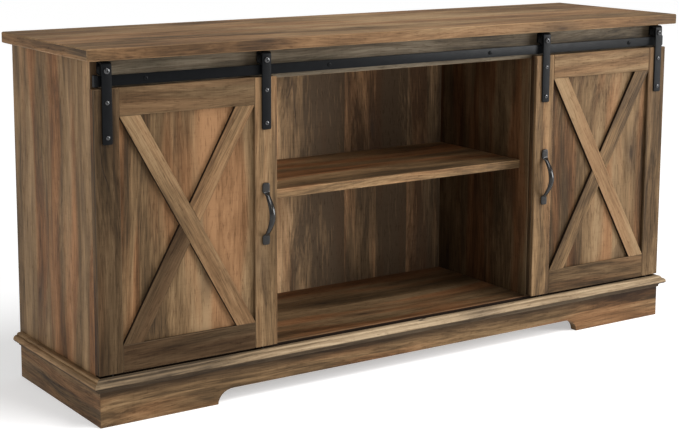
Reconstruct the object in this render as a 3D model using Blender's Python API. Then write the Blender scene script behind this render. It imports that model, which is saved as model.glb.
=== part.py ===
"""A farmhouse media console with two sliding doors that hang from a flat steel track.

Metres, +Z up, front face towards -Y, X to the right. The origin is on the floor, under the
middle of the top. Every board, moulding, fitting and fastener is its own object. Each door's
pieces hang from an empty on its slide, and each track wheel turns about its own origin.
"""

import math

import bmesh
import bpy
from mathutils import Matrix, Vector

# Overall size
WIDTH = 1.473
DEPTH = 0.400
HEIGHT = 0.711

# Gap between two pieces that touch, and the eased edge of a board
GAP = 0.0003
EASE = 0.0010

# Case boards
TOP_T = 0.022
BOARD_T = 0.015
SHELF_T = 0.018
BACK_T = 0.006
CASE_X = 0.715  # outer face of a side panel
CASE_FRONT = -0.164
CASE_BACK = 0.1995
BACK_FACE = 0.154  # front face of the back panel, which is set in
UNDER_TOP = HEIGHT - TOP_T
BAY_X = 0.331  # face of a divider towards the middle bay
FLOOR_Z = 0.0965  # upper face of the bottom panel
SHELF_Z = 0.401  # upper face of every shelf
SHELF_FRONT = -0.136
HEADER_Z = 0.630
CABLE_X = (-0.520, -0.225, 0.520)
CABLE_W = 0.070
CABLE_H = 0.036

# Plinth and its moulding
PLINTH_X = 0.718
PLINTH_FRONT = -0.186
PLINTH_BACK = 0.190
PLINTH_H = 0.068
PLINTH_T = 0.018
ARCH_X = 0.467  # where the arch meets the floor
ARCH_H = 0.028
ARCH_RUN = 0.034
FOOT_SIZE = (0.060, 0.100)
CAP_TOP = 0.0945
CAP_OUT = 0.014  # how far the moulding stands out from the plinth
CAP_TIP_X = 0.734
CAP_TIP_Y = PLINTH_FRONT - CAP_OUT
GROOVE_FRONT = -0.1815
GROOVE_BACK = -0.1665
GROOVE_Z = 0.0815

# Track
TRACK_Y = -0.1756
TRACK_T = 0.005
TRACK_Z = (0.640, 0.6595)
TRACK_END = 0.7062
STOP_W = 0.008
STOP_Y = 0.0105
TRACK_BOLT_X = (-0.610, -0.205, 0.205, 0.610)
BOLT_R = 0.0025
HEAD_R = 0.0045
HEAD_T = 0.0018
SPACER_R = 0.006

# Doors
DOOR_W = 0.3875
DOOR_Z = (0.0995, 0.636)
DOOR_BACK = -0.1666
CORE_T = 0.011
TRIM_T = 0.007
STILE_W = 0.050
RAIL_W = 0.052
BRACE_W = 0.037
DOOR_FRONT = DOOR_BACK - CORE_T - GAP - TRIM_T
PIN_Y = -0.174
PIN_R = 0.0035
PIN_FLANGE_R = 0.005
PIN_END_Z = 0.084
PIN_INSET = 0.030

# Hangers and wheels
STRAP_W = 0.020
STRAP_T = 0.003
STRAP_TOP = 0.6855
STRAP_FOOT = 0.534
STRAP_TAIL = 0.662
STRAP_BACK = -0.1655
STRAP_BEND = 0.0065
WHEEL_R = 0.0095  # running radius, on the track's upper edge
FLANGE_R = 0.012
FLANGE_T = 0.0018
WHEEL_W = 0.009
HUB_R = 0.0045
WHEEL_Z = TRACK_Z[1] + GAP + WHEEL_R
AXLE_HEAD_R = 0.006
AXLE_HEAD_T = 0.0035

# Handles
HANDLE_Z = (0.305, 0.4295)
HANDLE_INSET = 0.027
PAD_L = 0.026
PAD_W = 0.020
PAD_T = 0.004
NECK_W = 0.0065
GRIP_W = 0.0110
GRIP_T = 0.0070
GRIP_OUT = 0.0295  # from the door's face to the grip's outer face

ROUND_STEPS = 32


def clear_scene():
    for obj in list(bpy.data.objects):
        bpy.data.objects.remove(obj, do_unlink=True)


def finish(name, color, roughness, metallic=0.0):
    """A Principled material with one colour."""
    material = bpy.data.materials.new(name)
    material.use_nodes = True
    shader = material.node_tree.nodes["Principled BSDF"]
    shader.inputs["Base Color"].default_value = (*color, 1.0)
    shader.inputs["Roughness"].default_value = roughness
    shader.inputs["Metallic"].default_value = metallic
    material.diffuse_color = (*color, 1.0)
    return material


def add_object(name, bm, centre, material, parent=None):
    """Turns a bmesh, built round its own origin, into an object whose origin is at centre."""
    bmesh.ops.recalc_face_normals(bm, faces=bm.faces)
    mesh = bpy.data.meshes.new(name)
    bm.to_mesh(mesh)
    bm.free()
    mesh.materials.append(material)
    obj = bpy.data.objects.new(name, mesh)
    bpy.context.scene.collection.objects.link(obj)
    place(obj, centre, parent)
    return obj


def place(obj, centre, parent):
    """Puts an object at a world position, under a parent that is only moved, never turned."""
    obj.parent = parent
    obj.location = Vector(centre) - (parent.location if parent else Vector((0, 0, 0)))


def ease_edges(obj, width=EASE, segments=1):
    bevel = obj.modifiers.new("eased edges", "BEVEL")
    bevel.width = width
    bevel.segments = segments
    bevel.limit_method = "ANGLE"


def board(name, x, y, z, material, parent=None, ease=EASE):
    """A rectangular board between (low, high) limits on each axis."""
    size = [high - low for low, high in (x, y, z)]
    centre = [(high + low) / 2 for low, high in (x, y, z)]
    bm = bmesh.new()
    bmesh.ops.create_cube(bm, size=1.0, matrix=Matrix.Diagonal((*size, 1.0)))
    obj = add_object(name, bm, centre, material, parent)
    if ease:
        ease_edges(obj, ease)
    return obj


def prism(name, outline, axis, low, high, material, parent=None, centre=(0.0, 0.0, 0.0)):
    """An outline of the two other axes, in X, Y, Z order, extruded along axis from low to high."""
    others = [i for i in range(3) if i != axis]
    bm = bmesh.new()
    rings = []
    for end in (low, high):
        ring = []
        for point in outline:
            corner = [0.0, 0.0, 0.0]
            corner[others[0]], corner[others[1]] = point
            corner[axis] = end
            ring.append(bm.verts.new([c - o for c, o in zip(corner, centre)]))
        rings.append(ring)
    count = len(outline)
    bm.faces.new(rings[0])
    bm.faces.new(reversed(rings[1]))
    for i in range(count):
        j = (i + 1) % count
        bm.faces.new((rings[0][i], rings[1][i], rings[1][j], rings[0][j]))
    return add_object(name, bm, centre, material, parent)


def arc(centre, radii, start, end, steps):
    """Points along an ellipse's arc, angles in degrees, both ends included."""
    angles = [math.radians(start + (end - start) * i / steps) for i in range(steps + 1)]
    return [
        (centre[0] + radii[0] * math.cos(a), centre[1] + radii[1] * math.sin(a)) for a in angles
    ]


def turned(name, profile, axis, centre, material, parent=None, closed=False):
    """Spins a profile of (radius, distance along the axis) points once round an axis.

    A closed profile is a ring's section; an open one runs from the axis back to the axis.
    """
    along = Vector(axis)
    across = Vector((1, 0, 0)) if abs(along.x) < 0.5 else Vector((0, 1, 0))
    bm = bmesh.new()
    verts = [bm.verts.new(across * radius + along * offset) for radius, offset in profile]
    pairs = list(zip(verts, verts[1:])) + ([(verts[-1], verts[0])] if closed else [])
    edges = [bm.edges.new(pair) for pair in pairs]
    bmesh.ops.spin(
        bm, geom=verts + edges, cent=(0, 0, 0), axis=along, angle=2 * math.pi, steps=ROUND_STEPS
    )
    bmesh.ops.remove_doubles(bm, verts=bm.verts, dist=1e-6)
    obj = add_object(name, bm, centre, material, parent)
    obj.data.shade_smooth()
    obj.data.set_sharp_from_angle(angle=math.radians(35))
    return obj


def cut_away(obj, cutter):
    """Subtracts a helper shape, which isn't itself a piece."""
    cutter.hide_render = True
    cutter.display_type = "WIRE"
    cut = obj.modifiers.new(cutter.name, "BOOLEAN")
    cut.operation = "DIFFERENCE"
    cut.solver = "EXACT"
    cut.object = cutter


def drill(obj, holes):
    """Cuts round holes along Y through an object; each hole is (x, z, radius, y low, y high)."""
    for number, (x, z, radius, low, high) in enumerate(holes, 1):
        profile = [(0, low), (radius, low), (radius, high), (0, high)]
        name = f"{obj.name}_drill_{number}"
        cut_away(obj, turned(name, profile, (0, 1, 0), (x, 0, z), obj.data.materials[0]))


def domed_head(radius, height, face, sign=-1.0):
    """Profile of a domed bolt head: from the crown on the axis to the rim on the face."""
    dome = arc((0.0, 0.0), (radius, height * 0.6), 90, 0, 4)
    return [(max(r, 0.0), face + sign * (height * 0.4 + h)) for r, h in dome] + [(radius, face)]


# Case


def build_case():
    inner = CASE_X - BOARD_T
    board(
        "top_panel", (-WIDTH / 2, WIDTH / 2), (-DEPTH / 2, DEPTH / 2), (UNDER_TOP, HEIGHT), OAK,
        ease=2 * EASE,
    )
    panel_z = (PLINTH_H + GAP, UNDER_TOP - GAP)
    for side, sign in (("left", -1), ("right", 1)):
        x = sorted((sign * inner, sign * CASE_X))
        board(f"{side}_side_panel", x, (CASE_FRONT, CASE_BACK), panel_z, OAK)
        divider(side, sign)
        shelf_x = sorted((sign * (BAY_X + BOARD_T + GAP), sign * (inner - GAP)))
        board(
            f"{side}_shelf", shelf_x, (SHELF_FRONT, BACK_FACE - GAP), (SHELF_Z - SHELF_T, SHELF_Z),
            OAK,
        )
    span = (-inner + GAP, inner - GAP)
    board("bottom_panel", span, (CASE_FRONT, PLINTH_BACK), (FLOOR_Z - SHELF_T, FLOOR_Z), OAK)
    board(
        "centre_shelf", (-BAY_X + GAP, BAY_X - GAP), (SHELF_FRONT, BACK_FACE - GAP),
        (SHELF_Z - SHELF_T, SHELF_Z), OAK,
    )
    board(
        "header_board", span, (CASE_FRONT, CASE_FRONT + BOARD_T), (HEADER_Z, UNDER_TOP - GAP),
        DARK_OAK,
    )
    back_panel(span)


def divider(side, sign):
    """An upright between two bays, notched at its top front corner round the header board."""
    low, high = FLOOR_Z + GAP, UNDER_TOP - GAP
    notch_y, notch_z = CASE_FRONT + BOARD_T + GAP, HEADER_Z - GAP
    outline = [
        (CASE_FRONT, low), (BACK_FACE - GAP, low), (BACK_FACE - GAP, high), (notch_y, high),
        (notch_y, notch_z), (CASE_FRONT, notch_z),
    ]
    x = sorted((sign * BAY_X, sign * (BAY_X + BOARD_T)))
    obj = prism(f"{side}_divider", outline, 0, *x, OAK, centre=(sign * BAY_X, 0.0, FLOOR_Z))
    ease_edges(obj)


def back_panel(span):
    """The thin back, with a notch for cables in its lower edge behind three of the spaces."""
    low, high = FLOOR_Z + GAP, UNDER_TOP - GAP
    outline = [(span[0], low)]
    for x in CABLE_X:
        left, right, top = x - CABLE_W / 2, x + CABLE_W / 2, low + CABLE_H
        outline += [(left, low), (left, top), (right, top), (right, low)]
    outline += [(span[1], low), (span[1], high), (span[0], high)]
    prism(
        "back_panel", outline, 1, BACK_FACE, BACK_FACE + BACK_T, DARK_OAK,
        centre=(0.0, BACK_FACE, low),
    )


# Plinth


def build_plinth():
    arch = (
        arc((ARCH_X - ARCH_RUN, 0.0), (ARCH_RUN, ARCH_H), 0, 90, 8)
        + arc((-ARCH_X + ARCH_RUN, 0.0), (ARCH_RUN, ARCH_H), 90, 180, 8)
    )
    front = [(-PLINTH_X, 0.0), (-PLINTH_X, PLINTH_H), (PLINTH_X, PLINTH_H), (PLINTH_X, 0.0)] + arch
    apron("base_front", front)
    for side, sign in (("left", -1), ("right", 1)):
        outer, inner = sign * PLINTH_X, sign * (PLINTH_X - PLINTH_T)
        outline = [
            (outer, PLINTH_FRONT + GAP), (outer, PLINTH_BACK), (inner, PLINTH_BACK),
            (inner, PLINTH_FRONT + PLINTH_T + GAP),
        ]
        prism(f"base_{side}", outline, 2, 0.0, PLINTH_H, OAK, centre=(outer, 0.0, 0.0))
        side_moulding(side, sign)
    inner = PLINTH_X - PLINTH_T - GAP
    span = (-inner, inner)
    under_floor = FLOOR_Z - SHELF_T - GAP
    board("base_back", span, (PLINTH_BACK - PLINTH_T, PLINTH_BACK), (0.0, under_floor), DARK_OAK)
    foot_x, foot_y = FOOT_SIZE[0] / 2, FOOT_SIZE[1] / 2
    board("centre_foot", (-foot_x, foot_x), (-foot_y, foot_y), (0.0, under_floor), DARK_OAK)
    front_moulding()


def apron(name, outline):
    """The arched front board. Its two ends are mitred into the plinth's side boards."""
    bm = bmesh.new()
    back_y = PLINTH_FRONT + PLINTH_T
    front = [bm.verts.new((x, PLINTH_FRONT, z)) for x, z in outline]
    back = [
        bm.verts.new((math.copysign(PLINTH_X - PLINTH_T, x) if abs(x) == PLINTH_X else x, back_y, z))
        for x, z in outline
    ]
    bm.faces.new(front)
    bm.faces.new(reversed(back))
    for i, vert in enumerate(front):
        j = (i + 1) % len(front)
        bm.faces.new((vert, back[i], back[j], front[j]))
    add_object(name, bm, (0.0, 0.0, 0.0), OAK)


def cap_profile():
    """The moulding's outer edge as (distance out from the plinth, height), from the top down.

    Two rounded falls with a small step between them, a flat nose, a short flat band set in from
    it, and a hollow that runs back to the plinth.
    """
    step_out, band, foot = 0.0060, 0.0018, 0.0020
    upper_z, lower_z, nose_z = CAP_TOP - 0.0036, CAP_TOP - 0.0050, CAP_TOP - 0.0120
    band_z, hollow_z, foot_z = CAP_TOP - 0.0152, CAP_TOP - 0.0168, PLINTH_H + GAP + 0.0022
    upper_fall = arc((0.0, upper_z), (step_out, CAP_TOP - upper_z), 90, 0, 5)
    lower_fall = arc((step_out, nose_z), (CAP_OUT - step_out, lower_z - nose_z), 90, 0, 6)
    hollow = arc(
        (CAP_OUT - band, foot_z), (CAP_OUT - band - foot, hollow_z - foot_z), 90, 180, 8
    )
    return (
        upper_fall
        + lower_fall
        + [(CAP_OUT, band_z), (CAP_OUT - band, band_z)]
        + hollow
        + [(foot, PLINTH_H + GAP)]
    )


def front_moulding():
    """The cap along the front: the moulded edge, and a groove for the doors' guide pins."""
    edge = [(PLINTH_FRONT - out, z) for out, z in cap_profile()]
    back = CASE_FRONT - GAP
    inner = [
        (back, PLINTH_H + GAP), (back, CAP_TOP), (GROOVE_BACK, CAP_TOP), (GROOVE_BACK, GROOVE_Z),
        (GROOVE_FRONT, GROOVE_Z), (GROOVE_FRONT, CAP_TOP),
    ]
    cap = prism("moulding_front", edge + inner, 0, -CAP_TIP_X, CAP_TIP_X, OAK)
    reach, spare = CAP_TIP_X - CASE_X, 0.010
    wedge = [
        (CASE_X, CAP_TIP_Y + reach), (CAP_TIP_X + spare, CAP_TIP_Y - spare),
        (CAP_TIP_X + spare, back + spare), (CASE_X, back + spare),
    ]
    for side, sign in (("left", -1), ("right", 1)):
        plan = [(sign * x, y) for x, y in wedge]
        cut_away(cap, prism(f"{side}_mitre_cut", plan, 2, PLINTH_H - spare, CAP_TOP + spare, OAK))


def side_moulding(side, sign):
    """The cap along one side, mitred to the front one and cut square at the back."""
    edge = [(sign * (CAP_TIP_X - CAP_OUT + out), z) for out, z in cap_profile()]
    wall = sign * (CASE_X + GAP)
    bm = bmesh.new()
    outline = edge + [(wall, PLINTH_H + GAP), (wall, CAP_TOP)]
    mitre = CAP_TIP_Y + CAP_TIP_X + 1.5 * GAP
    front = [bm.verts.new((x, mitre - abs(x), z)) for x, z in outline]
    back = [bm.verts.new((x, PLINTH_BACK, z)) for x, z in outline]
    bm.faces.new(front)
    bm.faces.new(reversed(back))
    for i, vert in enumerate(front):
        j = (i + 1) % len(front)
        bm.faces.new((vert, back[i], back[j], front[j]))
    add_object(f"moulding_{side}", bm, (0.0, 0.0, 0.0), OAK)


# Track


def build_track():
    y = (TRACK_Y - TRACK_T / 2, TRACK_Y + TRACK_T / 2)
    middle_z = sum(TRACK_Z) / 2
    bar = board("track_bar", (-TRACK_END, TRACK_END), y, TRACK_Z, STEEL, ease=0.0)
    drill(bar, [(x, middle_z, BOLT_R + GAP, y[0] - 0.01, y[1] + 0.01) for x in TRACK_BOLT_X])
    for number, x in enumerate(TRACK_BOLT_X, 1):
        shank_end = y[1] + GAP
        profile = domed_head(HEAD_R, HEAD_T, y[0] - GAP) + [
            (BOLT_R, y[0] - GAP), (BOLT_R, shank_end), (SPACER_R, shank_end),
            (SPACER_R, CASE_FRONT - GAP), (0.0, CASE_FRONT - GAP),
        ]
        turned(f"track_bolt_{number}", profile, (0, 1, 0), (x, 0.0, middle_z), STEEL)
    for side, sign in (("left", -1), ("right", 1)):
        x = sorted((sign * (TRACK_END + GAP), sign * (TRACK_END + STOP_W)))
        stop_y = (TRACK_Y - STOP_Y / 2, TRACK_Y + STOP_Y / 2)
        stop_z = (TRACK_Z[0] - EASE, TRACK_Z[1] + 2 * EASE)
        board(f"{side}_track_stop", x, stop_y, stop_z, STEEL)


# Doors


def build_door(side, sign):
    """One sliding door and all that moves with it, under an empty on its slide."""
    outer = PLINTH_X + GAP
    x_low, x_high = sorted((sign * outer, sign * (outer - DOOR_W)))
    slide = bpy.data.objects.new(f"{side}_door_slide", None)
    bpy.context.scene.collection.objects.link(slide)
    slide.location = ((x_low + x_high) / 2, DOOR_BACK, DOOR_Z[0])

    core = (DOOR_BACK - CORE_T, DOOR_BACK)
    trim = (DOOR_FRONT, DOOR_FRONT + TRIM_T)
    board(f"{side}_door_panel", (x_low, x_high), core, DOOR_Z, DOOR_OAK, slide)
    board(f"{side}_door_left_stile", (x_low, x_low + STILE_W), trim, DOOR_Z, OAK, slide)
    board(f"{side}_door_right_stile", (x_high - STILE_W, x_high), trim, DOOR_Z, OAK, slide)
    rail_x = (x_low + STILE_W + GAP, x_high - STILE_W - GAP)
    top_rail = (DOOR_Z[1] - RAIL_W, DOOR_Z[1])
    bottom_rail = (DOOR_Z[0], DOOR_Z[0] + RAIL_W)
    board(f"{side}_door_top_rail", rail_x, trim, top_rail, OAK, slide)
    board(f"{side}_door_bottom_rail", rail_x, trim, bottom_rail, OAK, slide)
    braces(side, rail_x, (bottom_rail[1] + GAP, top_rail[0] - GAP), trim, slide)

    inner_stile = (x_low if sign > 0 else x_high) + sign * STILE_W / 2
    outer_stile = (x_high if sign > 0 else x_low) - sign * STILE_W / 2
    handle_x = (x_low if sign > 0 else x_high) + sign * HANDLE_INSET
    handle(f"{side}_door_handle", handle_x, slide)
    for place_name, x in (("outer", outer_stile), ("inner", inner_stile)):
        hanger(f"{side}_{place_name}", x, slide)
    for number, x in enumerate((x_low + PIN_INSET, x_high - PIN_INSET), 1):
        guide_pin(f"{side}_guide_pin_{number}", x, slide)


def crossing(a, b, c, d):
    """Where the line through a and b meets the line through c and d."""
    ab, cd = (b[0] - a[0], b[1] - a[1]), (d[0] - c[0], d[1] - c[1])
    ac = (c[0] - a[0], c[1] - a[1])
    t = (ac[0] * cd[1] - ac[1] * cd[0]) / (ab[0] * cd[1] - ab[1] * cd[0])
    return (a[0] + t * ab[0], a[1] + t * ab[1])


def braces(side, x, z, y, slide):
    """The X of a door: one brace runs through, and the other is cut into two round it."""
    (x0, x1), (z0, z1) = x, z
    run, rise = x1 - x0, z1 - z0
    # Level width of a brace whose square width is BRACE_W and which fills the opening's corners
    square = BRACE_W**2
    level = (
        -run * square
        + math.sqrt(run**2 * square**2 + (rise**2 - square) * square * (run**2 + rise**2))
    ) / (rise**2 - square)
    low_edge = ((x0, z1), (x1 - level, z0))
    high_edge = ((x0 + level, z1), (x1, z0))
    long_brace = [*low_edge, high_edge[1], high_edge[0]]

    left_edge = ((x1 - level, z1), (x0, z0))
    right_edge = ((x1, z1), (x0 + level, z0))
    shift = GAP * level / BRACE_W
    above = tuple((px + shift, pz) for px, pz in high_edge)
    below = tuple((px - shift, pz) for px, pz in low_edge)
    upper = [
        left_edge[0], right_edge[0], crossing(*right_edge, *above), crossing(*left_edge, *above)
    ]
    lower = [
        crossing(*left_edge, *below), crossing(*right_edge, *below), right_edge[1], left_edge[1]
    ]
    middle = ((x0 + x1) / 2, y[0], (z0 + z1) / 2)
    for part, outline in (("long", long_brace), ("upper", upper), ("lower", lower)):
        name = f"{side}_door_{part}_brace"
        obj = prism(name, outline, 1, *y, OAK, slide, centre=middle)
        ease_edges(obj, EASE / 2)


def handle(name, x, slide):
    """A bow pull: two flat pads on the stile, joined by a grip that swells in the middle."""
    low, high = HANDLE_Z
    length = high - low
    bm = bmesh.new()
    face = DOOR_FRONT - GAP
    rings = []
    stations = 28
    sides = 16
    for i in range(stations + 1):
        along = i / stations
        # Stations crowd towards the ends, where the pads are rounded off
        z = low + length * (1 - math.cos(math.pi * along)) / 2
        from_end = min(z - low, high - z)
        rise = min(max((from_end - PAD_L * 0.8) / (length / 2 - PAD_L * 0.8), 0.0), 1.0)
        bow = math.sin(math.pi / 2 * rise)
        pad = 1.0 - min(max((from_end - PAD_L * 0.75) / (PAD_L * 0.35), 0.0), 1.0)
        pad = pad * pad * (3 - 2 * pad)
        round_end = math.sqrt(max(1 - max(1 - from_end / 0.005, 0.0) ** 2, 0.0)) * 0.3 + 0.7
        width = (NECK_W + (GRIP_W - NECK_W) * bow) * (1 - pad) + PAD_W * round_end * pad
        thick = GRIP_T * (1 - pad) + PAD_T * pad
        base = face - thick / 2 - (GRIP_OUT - GRIP_T) * bow
        square = 2.0 + 4.0 * pad
        ring = []
        for k in range(sides):
            a = 2 * math.pi * k / sides
            c, s = math.cos(a), math.sin(a)
            px = width / 2 * math.copysign(abs(c) ** (2 / square), c)
            py = thick / 2 * math.copysign(abs(s) ** (2 / square), s)
            ring.append(bm.verts.new((px, base + py - face, z - low)))
        rings.append(ring)
    bm.faces.new(rings[0])
    bm.faces.new(reversed(rings[-1]))
    for a, b in zip(rings, rings[1:]):
        for k in range(sides):
            j = (k + 1) % sides
            bm.faces.new((a[k], b[k], b[j], a[j]))
    obj = add_object(name, bm, (x, face, low), BRONZE, slide)
    obj.data.shade_smooth()
    obj.data.set_sharp_from_angle(angle=math.radians(40))


def hanger(name, x, slide):
    """A flat strap screwed to the stile and bent over the wheel, with its axle bolt and wheel."""
    front_in = DOOR_FRONT - GAP
    front_out, back_in = front_in - STRAP_T, STRAP_BACK - STRAP_T
    top_in, bend_in = STRAP_TOP - STRAP_T, STRAP_BEND - STRAP_T
    outline = (
        [(front_out, STRAP_FOOT)]
        + arc((front_out + STRAP_BEND, STRAP_TOP - STRAP_BEND), (STRAP_BEND,) * 2, 180, 90, 6)
        + arc((STRAP_BACK - STRAP_BEND, STRAP_TOP - STRAP_BEND), (STRAP_BEND,) * 2, 90, 0, 6)
        + [(STRAP_BACK, STRAP_TAIL), (back_in, STRAP_TAIL)]
        + arc((back_in - bend_in, top_in - bend_in), (bend_in,) * 2, 0, 90, 6)
        + arc((front_in + bend_in, top_in - bend_in), (bend_in,) * 2, 90, 180, 6)
        + [(front_in, STRAP_FOOT)]
    )
    strap = prism(
        f"{name}_hanger", outline, 0, x - STRAP_W / 2, x + STRAP_W / 2, STEEL, slide,
        centre=(x, front_in, STRAP_FOOT),
    )
    drill(strap, [(x, WHEEL_Z, BOLT_R + GAP, front_out - 0.01, STRAP_BACK + 0.01)])

    axle = domed_head(AXLE_HEAD_R, AXLE_HEAD_T, front_out - GAP - TRACK_Y) + [
        (BOLT_R, front_out - GAP - TRACK_Y), (BOLT_R, STRAP_BACK - TRACK_Y),
        (0.0, STRAP_BACK - TRACK_Y),
    ]
    turned(f"{name}_axle_bolt", axle, (0, 1, 0), (x, TRACK_Y, WHEEL_Z), STEEL, slide)

    half, bore = WHEEL_W / 2, BOLT_R + GAP
    hub_front, hub_back = front_in + GAP - TRACK_Y, back_in - GAP - TRACK_Y
    rim = 0.0008
    section = [
        (bore, hub_front), (HUB_R, hub_front), (HUB_R, -half), (FLANGE_R - rim, -half),
        (FLANGE_R, -half + rim), (WHEEL_R, -half + FLANGE_T), (WHEEL_R, half - FLANGE_T),
        (FLANGE_R, half - rim), (FLANGE_R - rim, half), (HUB_R, half), (HUB_R, hub_back),
        (bore, hub_back),
    ]
    turned(f"{name}_wheel", section, (0, 1, 0), (x, TRACK_Y, WHEEL_Z), NYLON, slide, closed=True)


def guide_pin(name, x, slide):
    """A plastic pin under the door, which runs in the moulding's groove."""
    top = DOOR_Z[0] - GAP
    profile = [
        (0.0, top), (PIN_FLANGE_R, top), (PIN_FLANGE_R, top - 0.0015), (PIN_R, top - 0.0015),
        (PIN_R, PIN_END_Z + 0.001), (PIN_R - 0.001, PIN_END_Z), (0.0, PIN_END_Z),
    ]
    profile = [(radius, height - top) for radius, height in profile]
    turned(name, profile, (0, 0, 1), (x, PIN_Y, top), NYLON, slide)


clear_scene()
OAK = finish("oak", (0.235, 0.150, 0.088), 0.55)
DOOR_OAK = finish("door_oak", (0.205, 0.128, 0.074), 0.55)
DARK_OAK = finish("dark_oak", (0.120, 0.080, 0.052), 0.60)
STEEL = finish("black_steel", (0.018, 0.019, 0.021), 0.45, 0.6)
BRONZE = finish("dark_bronze", (0.030, 0.026, 0.024), 0.32, 0.8)
NYLON = finish("black_nylon", (0.020, 0.020, 0.021), 0.40)

build_case()
build_plinth()
build_track()
build_door("left", -1)
build_door("right", 1)
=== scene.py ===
"""The looks of a farmhouse media console with two doors that slide on a flat steel track.

The boards keep their CAD meshes and get a rustic oak print. The mouldings, the steel and plastic
fittings and the handles are built here as fine surfaces, and so are the small fasteners. Metres,
+Z up, front towards -Y. Each sub-assembly is a class with its sizes, and main() builds them all.
"""

import sys
import logging
import math
from collections.abc import Sequence
from dataclasses import dataclass
from enum import Enum
from typing import Any

import bmesh
import bpy
import numpy as np
from mathutils import Matrix, Vector


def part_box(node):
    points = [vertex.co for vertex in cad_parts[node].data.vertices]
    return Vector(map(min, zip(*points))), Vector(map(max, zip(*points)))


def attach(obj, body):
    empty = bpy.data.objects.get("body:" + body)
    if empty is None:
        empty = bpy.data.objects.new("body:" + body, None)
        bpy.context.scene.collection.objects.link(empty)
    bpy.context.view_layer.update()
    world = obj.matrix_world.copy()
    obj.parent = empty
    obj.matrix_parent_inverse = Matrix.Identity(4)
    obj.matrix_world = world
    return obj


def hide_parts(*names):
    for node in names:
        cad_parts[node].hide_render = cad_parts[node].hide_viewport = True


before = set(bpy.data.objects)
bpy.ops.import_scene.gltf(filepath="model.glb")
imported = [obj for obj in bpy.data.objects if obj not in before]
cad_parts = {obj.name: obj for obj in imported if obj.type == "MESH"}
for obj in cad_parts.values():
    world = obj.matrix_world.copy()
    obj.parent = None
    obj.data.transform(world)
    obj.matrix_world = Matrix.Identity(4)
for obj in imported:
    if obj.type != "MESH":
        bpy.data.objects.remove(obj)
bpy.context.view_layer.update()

Array = np.ndarray
Colour = tuple[float, float, float]
Link = Any  # a node's output socket

log = logging.getLogger("console")
SEED_STEPS = (7.3, 3.1, 5.7)  # how far one unit of seed moves a noise along each axis
ROUND = 48  # points once round a turned piece
WHITE = (1.0, 1.0, 1.0, 1.0)


# Shader nodes


class Value:
    """A socket that carries one number. Arithmetic on it adds Math nodes to its material."""

    def __init__(self, shader: "Shader", socket: Link) -> None:
        """Wraps a socket of a shader's node."""
        self.shader = shader
        self.socket = socket

    def _math(self, operation: str, *operands: "Value | float") -> "Value":
        """Adds a Math node with these operands."""
        return self.shader.value("ShaderNodeMath", {"operation": operation}, dict(enumerate(operands)))

    def __add__(self, other: "Value | float") -> "Value":
        """Sum."""
        return self._math("ADD", self, other)

    __radd__ = __add__

    def __mul__(self, other: "Value | float") -> "Value":
        """Product."""
        return self._math("MULTIPLY", self, other)

    __rmul__ = __mul__

    def __sub__(self, other: "Value | float") -> "Value":
        """Difference."""
        return self._math("SUBTRACT", self, other)

    def __rsub__(self, other: "Value | float") -> "Value":
        """Difference, with this value taken away."""
        return self._math("SUBTRACT", other, self)

    def __abs__(self) -> "Value":
        """Size without sign."""
        return self._math("ABSOLUTE", self)

    def larger(self, other: "Value | float") -> "Value":
        """The larger of two values."""
        return self._math("MAXIMUM", self, other)

    def between(self, low: float, high: float) -> "Value":
        """A smooth step from 0 at low to 1 at high, which may lie below low."""
        inputs = {"Value": self, "From Min": low, "From Max": high}
        return self.shader.value("ShaderNodeMapRange", {"interpolation_type": "SMOOTHSTEP"}, inputs)


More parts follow.
